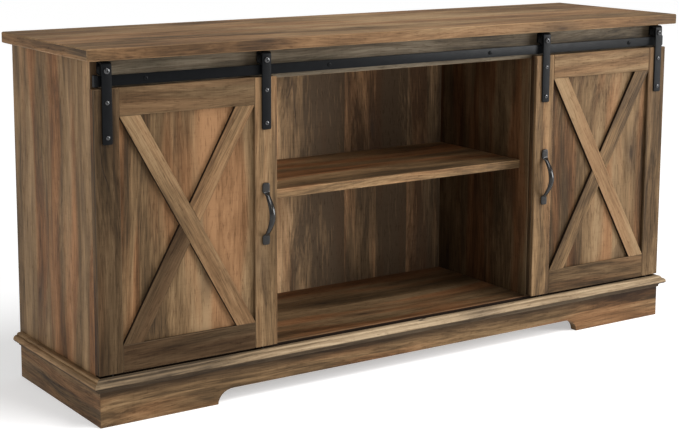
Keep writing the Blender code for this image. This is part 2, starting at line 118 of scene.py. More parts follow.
class Shader:
    """A material under construction: every node comes from its node method."""

    def __init__(self, name: str) -> None:
        """Starts a material with nothing but its output and one Principled shader."""
        self.material = bpy.data.materials.new(name)
        self.material.use_nodes = True
        self.tree = self.material.node_tree
        self.principled = self.tree.nodes["Principled BSDF"]

    def node(self, kind: str, settings: dict[str, Any], inputs: dict[Any, Any]) -> bpy.types.Node:
        """Adds a node.

        Args:
            kind: The node's type.
            settings: Its properties, set before its sockets.
            inputs: Values or links by socket name or number.

        Returns:
            The new node.
        """
        made = self.tree.nodes.new(kind)
        for key, setting in settings.items():
            setattr(made, key, setting)
        self.feed(made, inputs)
        return made

    def feed(self, node: bpy.types.Node, inputs: dict[Any, Any]) -> None:
        """Sets or links a node's sockets.

        Args:
            node: The node.
            inputs: Numbers, tuples, Values or sockets by socket name or number.
        """
        for key, given in inputs.items():
            source = given.socket if isinstance(given, Value) else given
            if isinstance(source, bpy.types.NodeSocket):
                self.tree.links.new(source, node.inputs[key])
            else:
                node.inputs[key].default_value = source

    def value(self, kind: str, settings: dict[str, Any], inputs: dict[Any, Any]) -> Value:
        """Adds a node, with the same arguments, and wraps its first output."""
        return Value(self, self.node(kind, settings, inputs).outputs[0])

    def vector(self, operation: str, *operands: Any) -> Link:
        """Adds a Vector Math node with these operands."""
        settings = {"operation": operation}
        return self.node("ShaderNodeVectorMath", settings, dict(enumerate(operands))).outputs[0]

    def split(self, vector: Link) -> list[Value]:
        """Takes a vector apart into its three numbers."""
        parts = self.node("ShaderNodeSeparateXYZ", {}, {"Vector": vector}).outputs
        return [Value(self, part) for part in parts]

    def noise(self, place: Link, scale: Sequence[float], detail: float = 2.0, seed: float = 0.0) -> Value:
        """Adds a noise that can be stretched.

        Args:
            place: The point that it is read at.
            scale: Its frequency along each axis, in waves a metre.
            detail: How many finer octaves it has.
            seed: Shifts the pattern.

        Returns:
            A value around a half, from about 0.25 to 0.75.
        """
        offset = tuple(seed * step for step in SEED_STEPS)
        moved = self.vector("MULTIPLY_ADD", place, tuple(scale), offset)
        inputs = {"Vector": moved, "Scale": 1.0, "Detail": detail, "Roughness": 0.55}
        return self.value("ShaderNodeTexNoise", {}, inputs)

    def ramp(self, value: Value, stops: Sequence[tuple[float, Colour]]) -> Link:
        """Adds a colour ramp.

        Args:
            value: Where on the ramp.
            stops: Positions and colours.

        Returns:
            The colour socket.
        """
        made = self.node("ShaderNodeValToRGB", {}, {"Fac": value})
        elements = made.color_ramp.elements
        while len(elements) < len(stops):
            elements.new(0.5)
        for element, (position, colour) in zip(elements, stops):
            element.position = position
            element.color = (*colour, 1.0)
        return made.outputs["Color"]

    def mix(self, factor: Value | float, base: Any, top: Any, blend: str = "MIX") -> Link:
        """Mixes two colours.

        Args:
            factor: How much of the top colour.
            base: Colour or socket below.
            top: Colour or socket above.
            blend: How they blend.

        Returns:
            The colour socket.
        """
        colours = [(*c, 1.0) if isinstance(c, tuple) else c for c in (base, top)]
        settings = {"data_type": "RGBA", "blend_type": blend, "clamp_factor": True}
        return self.node("ShaderNodeMix", settings, {0: factor, 6: colours[0], 7: colours[1]}).outputs[2]

    def bump(self, height: Value, strength: float, distance: float) -> Link:
        """Adds a bump and gives its normal socket."""
        inputs = {"Strength": strength, "Distance": distance, "Height": height}
        return self.node("ShaderNodeBump", {}, inputs).outputs["Normal"]


# Finishes

BRACE_SLOPE = math.radians(60.5)


class Grain(Enum):
    """Which way a board's grain runs: the turn that brings the grain onto the pattern's X axis."""

    ALONG_X = (0.0, 0.0, 0.0)
    ALONG_Y = (0.0, 0.0, -math.pi / 2)
    ALONG_Z = (0.0, math.pi / 2, 0.0)
    FALLING = (0.0, -BRACE_SLOPE, 0.0)
    RISING = (0.0, BRACE_SLOPE, 0.0)


OAK_STOPS = (
    (0.22, (0.050, 0.032, 0.018)),
    (0.38, (0.108, 0.066, 0.033)),
    (0.50, (0.178, 0.108, 0.053)),
    (0.62, (0.250, 0.157, 0.080)),
    (0.80, (0.345, 0.226, 0.120)),
)
REDDEN: Colour = (1.08, 0.80, 0.68)
SMOKE: Colour = (0.46, 0.47, 0.45)
FLECK: Colour = (0.50, 0.46, 0.42)
# The brown of the braces' dark edges, and also the colour of painted shade on boards.
EDGE_AND_SHADE_BROWN: Colour = (0.016, 0.010, 0.007)
# The lighter colour of eased edges: partly rubbed wear, partly a painted highlight.
WORN_AND_HIGHLIGHT_OAK: Colour = (0.34, 0.235, 0.140)
KNOT_BROWN: Colour = (0.040, 0.026, 0.017)
PLANK_BANDS = 2.2  # a printed plank's width, in bands
EDGE_WEAR_AND_HIGHLIGHT = 0.16  # how far an eased edge is lightened to the worn colour: partly rubbed wear, partly a painted highlight
BASE_LEVEL = 0.37  # where the print lies on the stops before its parts move it
BAND_GAIN, STREAK_GAIN, FIBRE_GAIN, PLANK_GAIN = 0.85, 0.34, 0.52, 0.26  # how far each moves it


@dataclass(frozen=True)
class StainOrPaintedShade:
    """A dark band on a board, mostly painted shade: none of it at start, all of it at full, along one
    axis.
    """

    axis: int
    start: float
    full: float
    strength: float


@dataclass(frozen=True)
class RusticOak:
    """A rustic oak print on board, with the values that tell one board's print from another's.

    Attributes:
        name: The material's name.
        grain: Which way the grain runs.
        seed: Which stretch of the print the board has.
        tone: Brightens the whole print, or tints it where it is a colour.
        red: How far the warm places redden.
        grey: How far the smoked places turn grey.
        band_width: Width of a soft band.
        dark_edges: Whether the faces that don't look forward are dark, as on a brace.
        pale: A lighter stretch (painted light, on the back): its middle and half width on the object's X,
            and its gain.
        stains_and_painted_shade: The dark bands over parts of the board: painted shade in gaps, hollows
            and under overhangs, and a darker rear face.
    """

    name: str
    grain: Grain
    seed: float
    tone: float | Colour = 1.0
    red: float = 0.55
    grey: float = 0.50
    band_width: float = 0.036
    dark_edges: bool = False
    pale: tuple[float, float, float] | None = None
    stains_and_painted_shade: tuple[StainOrPaintedShade, ...] = ()

    def material(self) -> bpy.types.Material:
        """The finish as a new material."""
        return OakPrint(self).build()


class OakPrint:
    """An oak material under construction, read at a place whose X axis runs with the grain.

    Each printed plank has its own tone. Soft bands run from tan to dark brown, and two wider
    noises redden and smoke them in places. Fibres, flecks, saw marks, knots and cracks lie on top.
    """

    def __init__(self, look: RusticOak) -> None:
        """Turns the place with the grain, and a quarter turn more on a board's ends.

        Args:
            look: The finish that it builds.
        """
        self.look = look
        self.shader = s = Shader(look.name)
        coordinates = s.node("ShaderNodeTexCoord", {}, {}).outputs
        self.flat, self.normal = coordinates["Object"], coordinates["Normal"]
        turned_place, facing = (
            s.node("ShaderNodeMapping", {}, {"Vector": vector, "Rotation": look.grain.value}).outputs[0]
            for vector in (self.flat, self.normal)
        )
        end = abs(s.split(facing)[0]).between(0.72, 0.80)
        along, across, depth = s.split(turned_place)
        swapped = s.node("ShaderNodeCombineXYZ", {}, {0: across, 1: along, 2: depth}).outputs[0]
        inputs = {0: end, 4: turned_place, 5: swapped}
        self.place = s.node("ShaderNodeMix", {"data_type": "VECTOR"}, inputs).outputs[1]

    def build(self) -> bpy.types.Material:
        """Lays the parts of the print over each other.

        Returns:
            The material.
        """
        s, look = self.shader, self.look
        plank = self.planks()
        self.wander()
        across = 1.0 / look.band_width
        band = self.noise(2.2, across, 2.0)
        streak = self.noise(7.5, across * 3.1, 2.5, 3.3)
        fibre = self.noise(16.0, 330.0, 2.5, 5.9)
        fleck = self.noise(48.0, 420.0, 1.5, 7.2).between(0.59, 0.68)
        saw = self.noise(330.0, 26.0, 1.0, 8.1).between(0.52, 0.70)
        warm = self.noise(1.9, across * 0.8, 1.5, 11.0) + plank * 0.12
        smoke = self.noise(3.6, across * 0.6, 3.0, 14.0)
        (knot, halo), crack = self.knots(), self.cracks()

        level = (band - 0.5) * BAND_GAIN + (streak - 0.5) * STREAK_GAIN + (fibre - 0.5) * FIBRE_GAIN
        level = level + plank * PLANK_GAIN + BASE_LEVEL
        if look.pale:
            level = level + self.paler()
        colour = s.ramp(level, OAK_STOPS)
        for amount, layer, blend in (
            (warm.between(0.52, 0.70) * look.red, REDDEN, "MULTIPLY"),
            (smoke.between(0.51, 0.72) * look.grey, SMOKE, "MULTIPLY"),
            (halo * 0.45, KNOT_BROWN, "MIX"),
            (knot.larger(crack) * 0.80, KNOT_BROWN, "MIX"),
            (fleck * 0.55 + saw * 0.12, FLECK, "MULTIPLY"),
            (1.0, look.tone if isinstance(look.tone, tuple) else (look.tone,) * 3, "MULTIPLY"),
        ):
            colour = s.mix(amount, colour, layer, blend)

        height = fibre * 0.6 + streak * 0.3 - crack * 1.5 - knot * 0.5 - fleck * 0.4 + saw * 0.15
        s.feed(s.principled, {
            "Base Color": self.stained_and_shaded(self.edged(colour)),
            "Roughness": 0.50 + (streak - 0.5) * 0.25 + fleck * 0.12,
            "Normal": s.bump(height, 0.35, 0.0005),
            "Specular IOR Level": 0.05,
        })
        return s.material

    def noise(self, along: float, across: float, detail: float, shift: float = 0.0) -> Value:
        """A noise with these waves a metre along and across the grain, its seed shifted."""
        return self.shader.noise(self.place, (along, across, across), detail, self.look.seed + shift)

    def planks(self) -> Value:
        """Each printed plank's own tone: a random number for each step across the grain.

        Returns:
            A value from 0 to 1, the same all along a plank.
        """
        _, across, depth = self.shader.split(self.place)
        steps = (across + depth) * (1.0 / (PLANK_BANDS * self.look.band_width)) + self.look.seed
        number = self.shader.value("ShaderNodeMath", {"operation": "FLOOR"}, {0: steps})
        return self.shader.value("ShaderNodeTexWhiteNoise", {"noise_dimensions": "1D"}, {"W": number})

    def wander(self) -> None:
        """Bends the grain: a slow noise moves the place across it."""
        drift = self.shader.vector("MULTIPLY", self.noise(1.7, 9.0, 1.0, 1.7) - 0.5, (0.0, 0.07, 0.07))
        self.place = self.shader.vector("ADD", self.place, drift)

    def paler(self) -> Value:
        """The lighter stretch: a smooth step on the distance from its middle, less its own half.

        Returns:
            What it adds to the print's level.
        """
        middle, reach, gain = self.look.pale
        distance = abs(self.shader.split(self.flat)[0] - middle)
        return (distance.between(reach, 0.0) - 0.5) * gain

    def knots(self) -> tuple[Value, Value]:
        """Oval knots, near the points of a stretched Voronoi whose random colour is high enough.

        Returns:
            The knots' dark hearts, and the darkness of the halos round them.
        """
        s, seed = self.shader, self.look.seed
        stretched = s.vector("MULTIPLY_ADD", self.place, (4.2, 14.0, 14.0), (seed, seed * 2.7, 0.4))
        cells = s.node("ShaderNodeTexVoronoi", {}, {"Vector": stretched, "Scale": 1.0}).outputs
        distance = Value(s, cells["Distance"])
        chance = s.split(cells["Color"])[0].between(0.62, 0.64)
        return distance.between(0.11, 0.03) * chance, distance.between(0.36, 0.10) * chance

    def cracks(self) -> Value:
        """Fine dark lines with the grain, in places, where a noise passes its middle value."""
        ridge = abs(self.noise(1.0, 30.0, 1.0, 17.0) - 0.5)
        return ridge.between(0.008, 0.001) * self.noise(3.4, 16.0, 1.0, 19.0).between(0.66, 0.72)

    def edged(self, colour: Link) -> Link:
        """Lightens eased edges as wear and painted highlight, or darkens a brace's faces that don't look
        forward.

        Args:
            colour: The print's colour.

        Returns:
            The colour with its edges.
        """
        sizes = [abs(part) for part in self.shader.split(self.normal)]
        if self.look.dark_edges:
            return self.shader.mix(sizes[1].between(0.5, 0.2), colour, EDGE_AND_SHADE_BROWN)
        slant = sizes[0].larger(sizes[1]).larger(sizes[2]).between(0.96, 0.80)
        # Eased edges lightened: partly rubbed wear, partly a painted highlight.
        return self.shader.mix(slant * EDGE_WEAR_AND_HIGHLIGHT, colour, WORN_AND_HIGHLIGHT_OAK)

    def stained_and_shaded(self, colour: Link) -> Link:
        """Lays the look's dark bands over a colour, most of them painted shade.

        Args:
            colour: The colour below.

        Returns:
            The darkened colour.
        """
        sides = self.shader.split(self.flat)
        for stain in self.look.stains_and_painted_shade:
            amount = sides[stain.axis].between(stain.start, stain.full) * stain.strength
            # Darkens towards the brown: painted shade in gaps, hollows and under overhangs, or a darker
            # rear face.
            colour = self.shader.mix(amount, colour, EDGE_AND_SHADE_BROWN)
        return colour


@dataclass(frozen=True)
class Coating:
    """Powder coat, patina or moulded plastic: one colour that mottles, over a fine orange peel."""

    name: str
    colour: Colour
    worn: Colour
    roughness: float
    specular: float
    peel: float = 0.15
    wear: float = 0.25

    def material(self) -> bpy.types.Material:
        """Builds the finish.

        Returns:
            The material.
        """
        s = Shader(self.name)
        place = s.node("ShaderNodeTexCoord", {}, {}).outputs["Object"]
        cloud = s.noise(place, (60.0, 60.0, 60.0), 3.0)
        grit = s.noise(place, (2400.0, 2400.0, 2400.0), 2.0, 2.0)
        worn = s.noise(place, (210.0, 210.0, 90.0), 3.0, 4.0).between(0.55, 0.75) * self.wear
        mottled = s.mix(cloud, self.colour, tuple(c * 1.6 for c in self.colour))
        s.feed(s.principled, {
            "Base Color": s.mix(worn, mottled, self.worn),
            "Roughness": self.roughness + (cloud - 0.5) * 0.2 - worn * 0.1,
            "Normal": s.bump(grit + cloud * 0.5, self.peel, 0.0002),
            "Specular IOR Level": self.specular,
        })
        return s.material


BLACK_BOLT = Coating("black_zinc", (0.006, 0.006, 0.007), (0.05, 0.05, 0.05), 0.24, 0.8, 0.05, 0.3)
BLACK_STEEL = Coating("black_powder_coat", (0.0028, 0.0031, 0.0036), (0.008, 0.009, 0.010), 0.38, 0.07)
BRONZE = Coating("dark_bronze", (0.009, 0.008, 0.007), (0.045, 0.039, 0.033), 0.19, 0.30, 0.04, 0.3)
NYLON = Coating("black_nylon", (0.006, 0.006, 0.006), (0.014, 0.014, 0.014), 0.50, 0.12)


# Surfaces


@dataclass
class Shell:
    """One closed surface: a grid of points whose columns run once round it.

    caps lists, for each end, the stretches of columns that one flat face closes. ring joins the
    last row to the first in place of caps.
    """

    points: Array
    ring: bool = False
    caps: Sequence[Sequence[int]] | None = None

    def faces(self) -> list[list[int]]:
        """Quads between neighbouring points, and the caps.

        Returns:
            The vertex numbers of each face.
        """
        rows, columns = self.points.shape[:2]
        row = np.arange(rows if self.ring else rows - 1)[:, None]
        column = np.arange(columns)[None, :]
        after, beside = (row + 1) % rows, (column + 1) % columns
        corners = [(row, column), (row, beside), (after, beside), (after, column)]
        faces = np.stack(np.broadcast_arrays(*(r * columns + c for r, c in corners)), axis=-1)
        faces = faces.reshape(-1, 4).tolist()
        if not self.ring:
            for cap in self.caps or [range(columns)]:
                faces.append(list(cap)[::-1])
                faces.append([(rows - 1) * columns + i for i in cap])
        return faces


def add_piece(
    name: str, shells: Sequence[Shell], finish: bpy.types.Material, body: str,
    replaces: Sequence[str] = (), sharp: float = 40.0,
) -> None:
    """Makes one object of closed shells and joins it to the frame.

    Args:
        name: The piece's name.
        shells: Its closed surfaces.
        finish: Its material.
        body: The CAD body that it rides on.
        replaces: CAD nodes that it stands for.
        sharp: The angle in degrees past which an edge stays sharp.
    """
    vertices = np.concatenate([shell.points.reshape(-1, 3) for shell in shells])
    starts = np.cumsum([0] + [shell.points[..., 0].size for shell in shells]).tolist()
    faces = [[i + start for i in face] for start, shell in zip(starts, shells) for face in shell.faces()]
    mesh = bpy.data.meshes.new(name)
    mesh.from_pydata(vertices.tolist(), [], faces)
    bm = bmesh.new()
    bm.from_mesh(mesh)
    bmesh.ops.remove_doubles(bm, verts=bm.verts, dist=1e-7)
    bmesh.ops.recalc_face_normals(bm, faces=bm.faces)
    bm.to_mesh(mesh)
    bm.free()
    mesh.shade_smooth()
    mesh.set_sharp_from_angle(angle=math.radians(sharp))
    mesh.materials.append(finish)
    piece = bpy.data.objects.new(name, mesh)
    bpy.context.scene.collection.objects.link(piece)
    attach(piece, body)
    if replaces:
        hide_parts(*replaces)
    log.info("%s: %d faces, rides on %s", name, len(mesh.polygons), body)


def dress(node: str, finish: bpy.types.Material) -> None:
    """Gives a CAD node a better material.

    Args:
        node: The node's name.
        finish: Its material.
    """
    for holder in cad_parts[node].material_slots:
        holder.material = finish
    log.info("%s: wears %s", node, finish.name)


def arc(centre: Sequence[float], radii: Sequence[float], start: float, end: float, steps: int) -> Array:
    """Points on an ellipse: the centre plus the radii times (cos, sin) from start to end, in degrees."""
    angle = np.radians(np.linspace(start, end, steps))
    return np.stack([centre[0] + radii[0] * np.cos(angle), centre[1] + radii[1] * np.sin(angle)], axis=-1)


def rounded_rectangle(width: float, height: float, radius: float, steps: int = 5) -> Array:
    """A rectangle's outline with a quarter circle at each corner.

    Args:
        width: Full width.
        height: Full height.
        radius: Corner radius.
        steps: Points on each corner.

    Returns:
        Array of 4 * steps by 2, round the outline.
    """
    x, y = width / 2 - radius, height / 2 - radius
    corners = ((x, y, 0), (-x, y, 90), (-x, -y, 180), (x, -y, 270))
    return np.concatenate([arc((cx, cy), (radius, radius), a, a + 90, steps) for cx, cy, a in corners])


class Axis(Enum):
    """The way a turned piece points, and the direction across it where its angle starts."""

    FRONT = ((0.0, -1.0, 0.0), (1.0, 0.0, 0.0))
    BACK = ((0.0, 1.0, 0.0), (-1.0, 0.0, 0.0))
    LEFT = ((-1.0, 0.0, 0.0), (0.0, -1.0, 0.0))
    RIGHT = ((1.0, 0.0, 0.0), (0.0, 1.0, 0.0))
    DOWN = ((0.0, 0.0, -1.0), (1.0, 0.0, 0.0))


def turned(
    profile: Sequence[Any], place: Sequence[float], axis: Axis, columns: int = ROUND, ring: bool = False
) -> Shell:
    """A surface of revolution: each row's radius times (cos, sin) of the angle, at its height.

    Args:
        profile: Rows of (radius, height along the axis), where a radius may change with the angle.
        place: Where the axis has height 0.
        axis: The way that it points.
        columns: Points once round.
        ring: True for a closed section that stays clear of the axis.

    Returns:
        The shell.
    """
    radius = np.stack([np.broadcast_to(r, columns) for r, _ in profile])[..., None]
    height = np.array([h for _, h in profile])[:, None, None]
    angle = np.linspace(0, 2 * np.pi, columns, endpoint=False)[:, None]
    along, side = np.array(axis.value)
    across = np.cos(angle) * side + np.sin(angle) * np.cross(along, side)
    return Shell(np.array(place) + height * along + radius * across, ring=ring)


class Drive(Enum):
    """The kind of recess in a screw's head."""

    HEX = "hex"
    CROSS = "cross"

    def radius(self, size: float, angle: Array) -> Array:
        """The recess's outline.

        A hexagon's radius is its flat distance over the cosine of the angle from the nearest flat.
        A cross's is a small core, with four lobes that rise as a high power of a cosine.

        Args:
            size: Flat distance of a hexagon, or a cross's reach.
            angle: Angles round the head.

        Returns:
            A radius for each angle.
        """
        if self is Drive.HEX:
            return size / np.cos((angle % (np.pi / 3)) - np.pi / 6)
        return size * (0.35 + 0.65 * np.abs(np.cos(2 * angle)) ** 6)


def screw_head(
    radius: float, height: float, place: Sequence[float], axis: Axis, drive: Drive, recess: float
) -> Shell:
    """A low domed head with a recess: a quarter ellipse from the rim to the recess's mouth.

    Args:
        radius: Rim radius.
        height: Crown height.
        place: Middle of the face that it sits on.
        axis: The way that it points.
        drive: The recess's kind.
        recess: The recess's size.

    Returns:
        The shell.
    """
    rim = height * 0.35
    mouth = drive.radius(recess, np.linspace(0, 2 * np.pi, ROUND, endpoint=False))
    dome = arc((0.0, rim), (radius, height - rim), 4, 62, 7)
    # The recess: a chamfered mouth, then walls that draw in to its floor.
    inside = [(mouth * 1.06, height * 0.93), (mouth, height * 0.88), (mouth * 0.92, height * 0.30)]
    rows = [(0.0, 0.0), (radius, 0.0), (radius, rim), *dome, *inside, (0.0, height * 0.26)]
    return turned(rows, place, axis)


def centre_of(node: str) -> Vector:
    """The middle of a CAD node's box."""
    low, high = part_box(node)
    return (low + high) / 2


# Sub-assemblies


@dataclass
class Case:
    """The carcass: its boards' finishes, the pins under its shelves and the screws in its back."""

    pin_radius: float = 0.0025
    pin_length: float = 0.0085
    pin_sunk: float = 0.0005
    pin_ease: float = 0.0006
    pin_front: float = 0.030
    screw_radius: float = 0.0036
    screw_height: float = 0.0018
    screw_recess: float = 0.0021
    lowest_screw: float = 0.06
    highest_screw: float = 0.04
    shelf_screws: tuple[float, ...] = (-0.61, -0.45, -0.11, 0.11, 0.45, 0.61)

    def make(self) -> None:
        """Dresses the boards and adds the fasteners."""
        self.dress_boards()
        self.add_shelf_pins()
        self.add_back_screws()

    def dress_boards(self) -> None:
        """Gives each board its own stretch of the print, with the grain along the board."""
        along, up = Grain.ALONG_X, Grain.ALONG_Z
        front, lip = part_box("left_side_panel")[0].y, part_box("top_panel")[0].y
        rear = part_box("back_panel")[1].y
        # Painted shade on the side panels' front edges, in the dark slot beside the doors.
        painted_gap_shade = (StainOrPaintedShade(1, start=front + 0.002, full=front + 0.001, strength=0.75),)
        # The back's rear face, darkened below the painted-light tone that the whole board gets.
        behind = (StainOrPaintedShade(1, start=rear - 0.0020, full=rear - 0.0005, strength=0.65),)
        shaded_lip = (StainOrPaintedShade(1, start=lip + 0.0012, full=lip + 0.0004, strength=0.42),)
        looks = {
            "top_panel": RusticOak(
                "oak_top", along, 1.3, 1.28, 0.35, 0.30, 0.060, pale=(0.15, 0.80, 0.12), stains_and_painted_shade=shaded_lip
            ),
            "left_side_panel": RusticOak("oak_left_side", up, 2.1, 1.0, 0.8, 0.5, 0.045, stains_and_painted_shade=painted_gap_shade),
            "right_side_panel": RusticOak("oak_right_side", up, 6.4, 1.0, 0.8, 0.5, 0.045, stains_and_painted_shade=painted_gap_shade),
            "left_divider": RusticOak("oak_left_divider", up, 9.2, 0.75, 0.5),
            # The right divider's low tone is painted shade: its face inside the bay looks away from the
            # main light.
            "right_divider": RusticOak("oak_right_divider", up, 12.6, 0.36, 1.0),
            "bottom_panel": RusticOak("oak_floor", along, 15.1, 0.58, 1.0, 0.2, 0.045),
            # The back's high tone and its pale stretch on the left are painted light, for the little
            # light inside the bay.
            "back_panel": RusticOak(
                "oak_back", up, 18.9, (2.5, 2.65, 2.9), 0.5, 0.2, 0.040, pale=(-0.38, 0.52, 0.56),
                stains_and_painted_shade=behind,
            ),
            "header_board": RusticOak("oak_header", along, 22.3, (0.55, 0.70, 0.95), 0.0, 0.9, 0.026),
            "centre_shelf": RusticOak("oak_centre_shelf", along, 25.8, 1.15, 1.0, 0.3, 0.045),
            "left_shelf": RusticOak("oak_left_shelf", along, 28.4, 1.0, 0.6, 0.4, 0.045),
            "right_shelf": RusticOak("oak_right_shelf", along, 31.7, 1.0, 0.6, 0.4, 0.045),
        }
        for node, look in looks.items():
            dress(node, look.material())

    def add_shelf_pins(self) -> None:
        """Four steel pins under each shelf: short round pegs that stand out of the uprights."""
        r, e, length = self.pin_radius, self.pin_ease, self.pin_length
        end = arc((r - e, length - e), (e, e), 0, 90, 5)
        profile = [(0.0, -self.pin_sunk), (r, -self.pin_sunk), *end, (0.0, length)]
        steel = BLACK_STEEL.material()
        for shelf in ("left_shelf", "centre_shelf", "right_shelf"):
            low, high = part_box(shelf)
            shells = [
                turned(profile, (x, y, low.z - r), axis, 24)
                for x, axis in ((low.x, Axis.RIGHT), (high.x, Axis.LEFT))
                for y in (low.y + self.pin_front, high.y - self.pin_front)
            ]
            add_piece(f"{shelf}_pins", shells, steel, "cabinet")

    def add_back_screws(self) -> None:
        """Cross-headed screws through the back, into the dividers and the shelves."""
        low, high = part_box("back_panel")
        heights = np.linspace(low.z + self.lowest_screw, high.z - self.highest_screw, 5)
        places = [(centre_of(f"{side}_divider").x, z) for side in ("left", "right") for z in heights]
        places += [(x, centre_of("centre_shelf").z) for x in self.shelf_screws]
        r, h, recess = self.screw_radius, self.screw_height, self.screw_recess
        shells = [screw_head(r, h, (x, high.y, z), Axis.BACK, Drive.CROSS, recess) for x, z in places]
        add_piece("back_screws", shells, BLACK_STEEL.material(), "cabinet")


@dataclass
class Plinth:
    """The base boards and the moulding round them, swept from one edge profile."""

    stand_out: float = 0.014
    step_out: float = 0.0060
    upper_drop: float = 0.0036
    step_drop: float = 0.0050
    nose_drop: float = 0.0120
    band_drop: float = 0.0152
    hollow_drop: float = 0.0168
    band: float = 0.0018
    foot: float = 0.0020
    foot_height: float = 0.0022
    ease: float = 0.0005
    groove: tuple[float, float] = (-0.1815, -0.1665)
    groove_floor: float = 0.0815
    curve_steps: int = 14

    def make(self) -> None:
        """Dresses the base boards and builds the mouldings."""
        across, deep = Grain.ALONG_X, Grain.ALONG_Y
        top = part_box("base_front")[1].z
        # Painted shade on the apron, darker upwards towards the moulding's hollow.
        painted_shade_under_cap = (StainOrPaintedShade(2, start=top - 0.020, full=top - 0.002, strength=0.65),)
        looks = {
            "base_front": RusticOak("oak_apron", across, 35.2, 0.78, 0.6, 0.4, 0.030, stains_and_painted_shade=painted_shade_under_cap),
            "base_left": RusticOak("oak_base_left", deep, 38.6, 0.85, 0.5, 0.4, 0.030),
            "base_right": RusticOak("oak_base_right", deep, 41.9, 0.85, 0.5, 0.4, 0.030),
            "base_back": RusticOak("oak_base_back", across, 44.3, 0.6, 0.4),
            "centre_foot": RusticOak("oak_foot", Grain.ALONG_Z, 47.7, 0.5, 0.4),
        }
        for node, look in looks.items():
            dress(node, look.material())
        self.add_front_moulding()
        self.add_side_mouldings()

    def edge_profile(self, low: float, high: float) -> Array:
        """The moulding's outer edge, as (distance in from the tip, height), from the top down.

        A quarter-ellipse fall, a small step, a second fall to a flat nose, a short band set in,
        then a quarter-ellipse hollow that runs back to the foot.

        Args:
            low: Height of the underside.
            high: Height of the top.

        Returns:
            Array of points by 2.
        """
        n, e = self.curve_steps, self.ease
        step_in, upper_z = self.stand_out - self.step_out, high - self.upper_drop
        step_z, nose_z, band_z = high - self.step_drop, high - self.nose_drop, high - self.band_drop
        upper_fall = arc((self.stand_out, upper_z), (self.step_out, self.upper_drop), 90, 180, n)
        lower_fall = arc((step_in, nose_z), (step_in, step_z - nose_z), 90, 180, n)
        lip = arc((e, band_z + e), (e, e), 180, 270, 4)
        foot_z = low + self.foot_height
        reach = self.stand_out - self.band - self.foot
        hollow = arc((self.band, foot_z), (reach, high - self.hollow_drop - foot_z), 90, 0, n)
        foot = [[self.stand_out - self.foot, low]]
        return np.concatenate([upper_fall, lower_fall, lip, [[self.band, band_z]], hollow, foot])

    def add_front_moulding(self) -> None:
        """The front cap: the edge, the guide groove behind it, and ends mitred as far as the case."""
        low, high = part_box("moulding_front")
        case_x = -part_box("left_side_panel")[0].x
        reach = high.x - case_x
        fold_y = low.y + reach
        edge = self.edge_profile(low.z, high.z)
        outer = np.stack([low.y + edge[:, 0], edge[:, 1]], axis=-1)
        front, back = self.groove
        inner = np.array([
            [fold_y, low.z], [high.y, low.z], [high.y, high.z], [back, high.z], [back, self.groove_floor],
            [fold_y, self.groove_floor], [front, self.groove_floor], [front, high.z],
        ])
        section = np.concatenate([outer, inner])
        draw_in = np.minimum(section[:, 0] - low.y, reach)
        ends = [np.column_stack([x, section]) for x in (low.x + draw_in, high.x - draw_in)]
        first = len(outer)
        behind = [first + i for i in range(6)]
        ahead = [*range(first + 1), first + 5, first + 6, first + 7]
        shell = Shell(np.stack(ends), caps=[behind, ahead])
        # Painted shade: from the groove's front edge back the moulding is dark brown, where the doors
        # shade it, and its hollow is darkened too.
        oak = RusticOak(
            "oak_moulding_front", Grain.ALONG_X, 51.2, (1.25, 1.45, 1.75), 0.0, 0.2, 0.020,
            pale=(0.30, 0.90, 0.20),
            stains_and_painted_shade=(StainOrPaintedShade(1, start=front, full=front + 0.001, strength=1.0), self.cove_shade(high.z)),
        )
        add_piece(
            "front_moulding", [shell], oak.material(), "cabinet", ["moulding_front"], 30.0
        )

    def cove_shade(self, top: float) -> StainOrPaintedShade:
        """The painted shade in the hollow under the nose of a cap with this upper height."""
        return StainOrPaintedShade(2, start=top - self.nose_drop - self.ease, full=top - self.band_drop, strength=0.80)

    def add_side_mouldings(self) -> None:
        """The side caps: the same edge, mitred at the front and square at the back."""
        for side, sign in (("left", -1), ("right", 1)):
            low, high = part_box(f"moulding_{side}")
            tip, wall = (low.x, high.x) if sign < 0 else (high.x, low.x)
            edge = self.edge_profile(low.z, high.z)
            x = np.concatenate([tip - sign * edge[:, 0], [wall, wall]])
            z = np.concatenate([edge[:, 1], [low.z, high.z]])
            front = low.y + np.abs(tip - x)
            ends = [np.stack([x, y, z], axis=-1) for y in (front, np.full_like(x, high.y))]
            name, seed, shade = f"oak_moulding_{side}", 55.4 + 3.1 * sign, (self.cove_shade(high.z),)
            oak = RusticOak(name, Grain.ALONG_Y, seed, 1.15, 0.2, 0.3, 0.020, stains_and_painted_shade=shade).material()
            shell = Shell(np.stack(ends))
            add_piece(f"{side}_moulding", [shell], oak, "cabinet", [f"moulding_{side}"], 30.0)


